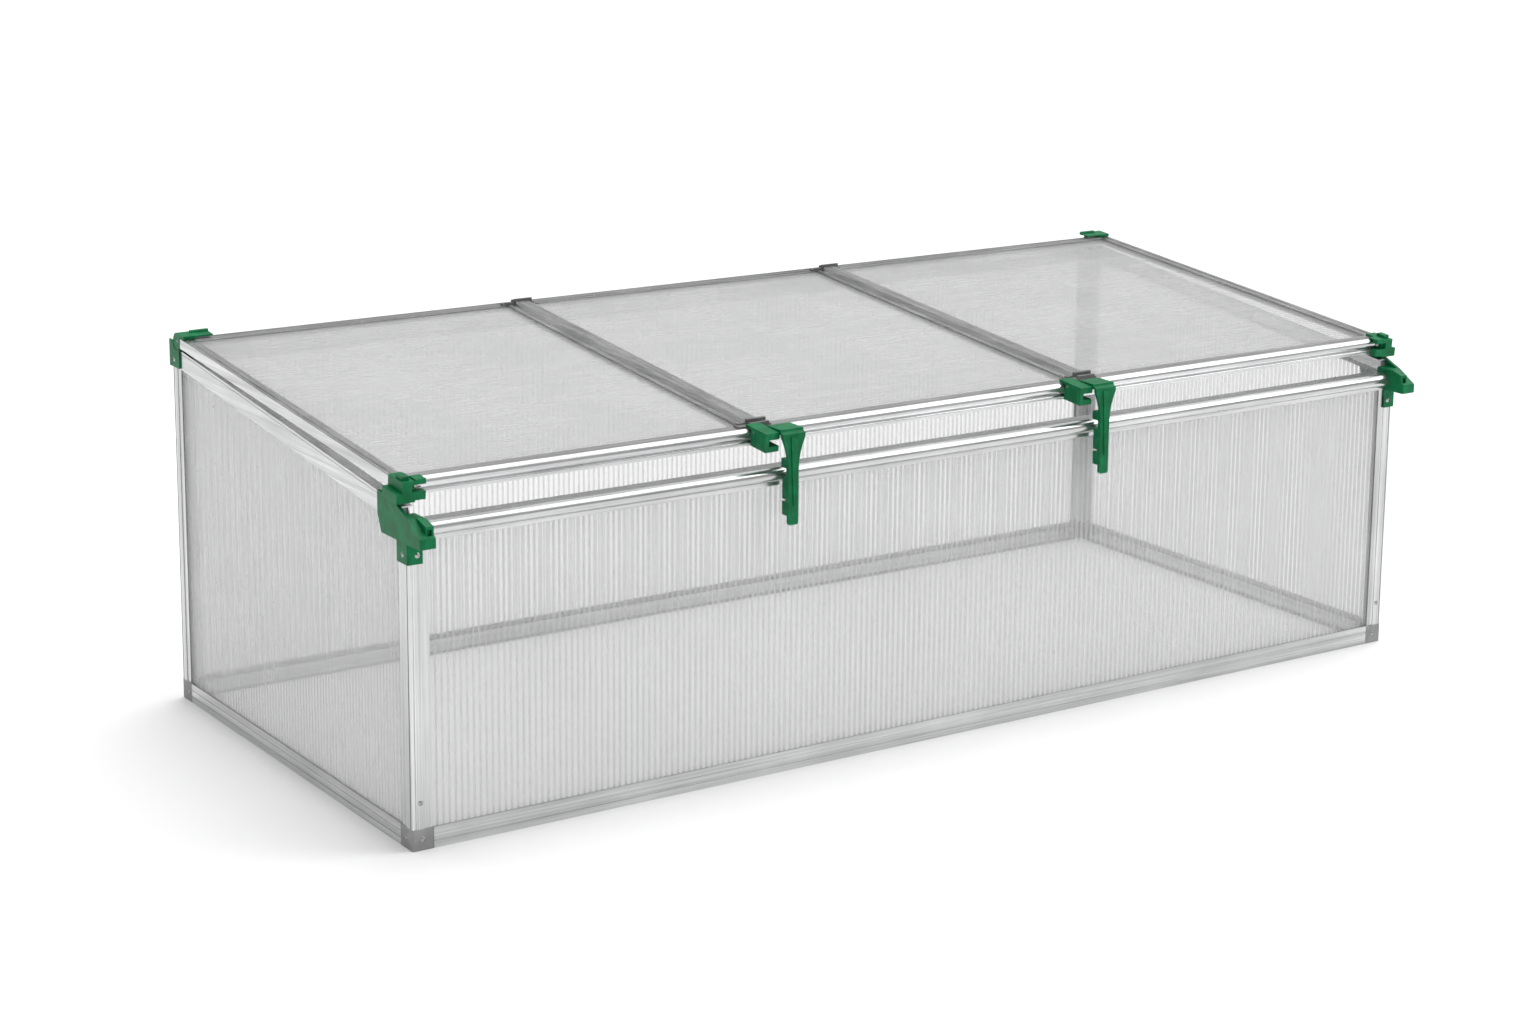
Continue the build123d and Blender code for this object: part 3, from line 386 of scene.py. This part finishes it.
def rib_tree():
    """Slats on a line of points, each as tall as the sheet is where it stands."""
    made = RibTree("twin_wall_ribs", RIB_INPUTS)
    given = made.given
    line = made.node("GeometryNodeMeshLine", {
        "Count": given["Rib Count"], "Start Location": made.vector(given["First Rib"], given["Middle"], 0.0),
        "Offset": made.vector(given["Spacing"], 0.0, 0.0)})[0]
    along = made.node("ShaderNodeSeparateXYZ", {0: made.node("GeometryNodeInputPosition", {})[0]})[0]
    top = made.sum("ADD", given["Start Top"], made.sum(
        "MULTIPLY", given["Rise"], made.sum("SUBTRACT", along, given["Start"])))
    height = made.sum("SUBTRACT", top, given["Bottom"])
    middle_height = made.sum("MULTIPLY", made.sum("ADD", top, given["Bottom"]), 0.5)
    slat = made.node("GeometryNodeMeshCube", {
        "Size": made.vector(given["Rib Thickness"], given["Rib Depth"], 1.0)})[0]
    marked = made.node("GeometryNodeStoreNamedAttribute", {
        "Geometry": slat, "Name": RIB_MARK, "Value": 1.0}, data_type="FLOAT", domain="POINT")[0]
    raised = made.node("GeometryNodeSetPosition", {
        "Geometry": line, "Offset": made.vector(0.0, 0.0, middle_height)})[0]
    slats = made.node("GeometryNodeInstanceOnPoints", {
        "Points": raised, "Instance": marked, "Scale": made.vector(1.0, 1.0, height)})[0]
    both = made.node("GeometryNodeJoinGeometry", {})
    join = both[0].node
    made.tree.links.new(given["Geometry"], join.inputs[0])
    made.tree.links.new(slats, join.inputs[0])
    whole = made.node("GeometryNodeRealizeInstances", {"Geometry": join.outputs[0]})[0]
    done = made.node("GeometryNodeSetMaterial", {"Geometry": whole, "Material": given["Material"]})[0]
    made.tree.links.new(done, made.result)
    return made


ribs = rib_tree()
print("rib tree has", len(ribs.tree.nodes), "nodes")

# %% [markdown]
# ## Skins and the finished sheets
# The two skins are cut to the outline of the solid plate that they replace, read from the
# plate's own corners, so a sheet always fits its bars. Each sheet is worked in its own flat
# frame, across the ribs, through the thickness and along the ribs, and turned into place last.

# %% Make the sheets
SKIN = 0.0005
RIB_THICKNESS = 0.0005
RIB_SPACING = 0.008
CORNER_GRID = 0.0001
ROUNDING = 5


def corners_in(node, frame_matrix):
    """The node's corners in a sheet's own frame, without repeats."""
    inverse = frame_matrix.inverted()
    found = {}
    for vertex in node.data.vertices:
        point = inverse @ vertex.co
        key = tuple(round(c / CORNER_GRID) for c in point)
        found[key] = point
    return list(found.values())


def outline_of(points):
    """The sheet's outline across and along the ribs, in order round its middle."""
    flat = {(round(p.x, ROUNDING), round(p.z, ROUNDING)) for p in points}
    middle_x = (min(u for u, w in flat) + max(u for u, w in flat)) / 2
    middle_z = (min(w for u, w in flat) + max(w for u, w in flat)) / 2
    return sorted(flat, key=lambda c: math.atan2(c[1] - middle_z, c[0] - middle_x))


def skin_mesh(name, outline, layers):
    """Thin plates with one outline, one plate for each (start, end) through the thickness."""
    shape = bmesh.new()
    for start, end in layers:
        near = [shape.verts.new((u, start, w)) for u, w in outline]
        far = [shape.verts.new((u, end, w)) for u, w in outline]
        shape.faces.new(near)
        shape.faces.new(list(reversed(far)))
        for i in range(len(outline)):
            j = (i + 1) % len(outline)
            shape.faces.new((near[j], near[i], far[i], far[j]))
    bmesh.ops.recalc_face_normals(shape, faces=shape.faces)
    mesh = bpy.data.meshes.new(name)
    shape.to_mesh(mesh)
    shape.free()
    return mesh


def upper_edge(outline):
    """Height of the outline's upper edge at its start, and its rise along the sheet."""
    middle = (min(w for u, w in outline) + max(w for u, w in outline)) / 2
    first, *_, last = sorted((u, w) for u, w in outline if w > middle)
    return first[1], (last[1] - first[1]) / (last[0] - first[0])


def twin_wall(name, node_name, frame_matrix, material):
    """A hollow sheet in place of a plain plate: two skins with ribs between."""
    points = corners_in(nodes[node_name], frame_matrix)
    outline = outline_of(points)
    thin, thick = min(p.y for p in points), max(p.y for p in points)
    start, end = min(u for u, w in outline), max(u for u, w in outline)
    start_top, rise = upper_edge(outline)
    layers = [(thin, thin + SKIN), (thick - SKIN, thick)]
    maker = bpy.data.objects.new(name + "_maker", skin_mesh(name + "_skins", outline, layers))
    bpy.context.scene.collection.objects.link(maker)
    gap_count = math.floor((end - start - RIB_THICKNESS) / RIB_SPACING)
    first = (start + end - gap_count * RIB_SPACING) / 2
    modifier = maker.modifiers.new("ribs", "NODES")
    modifier.node_group = ribs.tree
    for title, value in {
        "Rib Count": gap_count + 1, "First Rib": first, "Spacing": RIB_SPACING,
        "Rib Thickness": RIB_THICKNESS, "Rib Depth": thick - thin - 2 * SKIN, "Middle": (thin + thick) / 2,
        "Bottom": min(w for u, w in outline), "Start": start, "Start Top": start_top,
        "Rise": rise, "Material": material,
    }.items():
        modifier[ribs.identifiers[title]] = value
    evaluated = maker.evaluated_get(bpy.context.evaluated_depsgraph_get())
    mesh = bpy.data.meshes.new_from_object(evaluated)
    mesh.transform(frame_matrix)
    mesh.name = name
    bpy.data.objects.remove(maker)
    sheet = bpy.data.objects.new(name, mesh)
    bpy.context.scene.collection.objects.link(sheet)
    print(name, "ribs:", gap_count + 1, "faces:", len(mesh.polygons))
    return sheet


def sheet_frame(across, through, along):
    """A turn that takes a sheet's own axes to the object's."""
    return Matrix((across, through, along)).transposed().to_4x4()


def pane_slope(node):
    """The direction up the slope, from the front lower edge to the rear lower edge."""
    places = [vertex.co for vertex in node.data.vertices]
    front = min(places, key=lambda p: p.z)
    rear = max(places, key=lambda p: p.y)
    return Vector((0, rear.y - front.y, rear.z - front.z)).normalized()


X, Y, Z = Vector((1, 0, 0)), Vector((0, 1, 0)), Vector((0, 0, 1))
slope = pane_slope(nodes["lid_pane_middle"])
flat_frames = {"front": sheet_frame(X, Y, Z), "rear": sheet_frame(X, Y, Z),
               "left": sheet_frame(Y, -X, Z), "right": sheet_frame(Y, -X, Z)}
for side, turn in flat_frames.items():
    sheet = twin_wall(f"twin_wall_{side}", f"wall_sheet_{side}", turn, wall_plastic)
    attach(sheet, "frame")
    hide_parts(f"wall_sheet_{side}")
for side in ("left", "middle", "right"):
    turn = sheet_frame(slope, X.cross(slope), X)
    sheet = twin_wall(f"lid_twin_wall_{side}", f"lid_pane_{side}", turn, lid_plastic)
    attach(sheet, "lid")
    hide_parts(f"lid_pane_{side}")

# %% [markdown]
# ## Studio floor and light
# A plain pale floor runs far past the picture, and a bright surround does most of the lighting,
# so shadows stay soft. Metal shows only what it reflects: an even white surround would leave it
# flat, so the surround darkens in a band above the horizon, which draws lines along the bars.

# %% Floor, surround and softboxes
FLOOR_SIZE = 60.0
LAMP_TARGET = (0, 0, 0.2)
SURROUND_LEVELS = [(0.0, 0.95), (0.10, 0.75), (0.25, 0.35), (0.55, 0.55), (1.0, 0.70)]
SEE_THROUGH_FACES = 40


def pale_floor():
    """A wide white floor with a very slight paper mottle."""
    mesh = bpy.data.meshes.new("studio_floor")
    half = FLOOR_SIZE / 2
    corners = [(-half, -half, 0), (half, -half, 0), (half, half, 0), (-half, half, 0)]
    mesh.from_pydata(corners, [], [(0, 1, 2, 3)])
    finish = Finish("pale_paper")
    mottle = finish.noise(0.5, detail=2)
    finish.set(Base_Color=finish.blend(mottle, grey(0.93), grey(0.95)), Roughness=0.9)
    mesh.materials.append(finish.material)
    floor = bpy.data.objects.new("studio_floor", mesh)
    bpy.context.scene.collection.objects.link(floor)
    return floor


def softbox(name, place, size, power):
    """A square lamp at a place, facing the middle of the object."""
    lamp = bpy.data.lights.new(name, "AREA")
    lamp.size = size
    lamp.energy = power
    holder = bpy.data.objects.new(name, lamp)
    bpy.context.scene.collection.objects.link(holder)
    holder.location = place
    holder.rotation_mode = "QUATERNION"
    holder.rotation_quaternion = (Vector(LAMP_TARGET) - Vector(place)).to_track_quat("-Z", "Y")


def soft_sun(name, direction, spread, strength):
    """An even light over the whole floor from one side, spread over an angle in degrees."""
    lamp = bpy.data.lights.new(name, "SUN")
    lamp.angle = math.radians(spread)
    lamp.energy = strength
    holder = bpy.data.objects.new(name, lamp)
    bpy.context.scene.collection.objects.link(holder)
    holder.rotation_mode = "QUATERNION"
    holder.rotation_quaternion = Vector(direction).to_track_quat("Z", "Y")


def surround(levels):
    """A surround whose brightness changes with height, given as (height, brightness) pairs."""
    world = bpy.data.worlds.new("studio_surround")
    world.use_nodes = True
    tree = world.node_tree
    direction = tree.nodes.new("ShaderNodeTexCoord")
    split = tree.nodes.new("ShaderNodeSeparateXYZ")
    ramp = tree.nodes.new("ShaderNodeValToRGB")
    while len(ramp.color_ramp.elements) < len(levels):
        ramp.color_ramp.elements.new(0.5)
    for element, (height, level) in zip(ramp.color_ramp.elements, levels):
        element.position = height
        element.color = grey(level)
    tree.links.new(direction.outputs["Generated"], split.inputs[0])
    tree.links.new(split.outputs["Z"], ramp.inputs["Fac"])
    tree.links.new(ramp.outputs["Color"], tree.nodes["Background"].inputs["Color"])
    tree.nodes["Background"].inputs["Strength"].default_value = 1.0
    bpy.context.scene.world = world


pale_floor()
surround(SURROUND_LEVELS)
softbox("key_softbox", (3.2, -2.2, 3.4), size=2.0, power=40)
softbox("top_softbox", (-0.4, 0.6, 3.6), size=2.4, power=30)
soft_sun("broad_sun", (0.55, 0.10, 1.0), spread=70, strength=1.9)
bpy.context.scene.view_settings.view_transform = "Standard"
bpy.context.scene.cycles.transparent_max_bounces = SEE_THROUGH_FACES
print("studio ready")
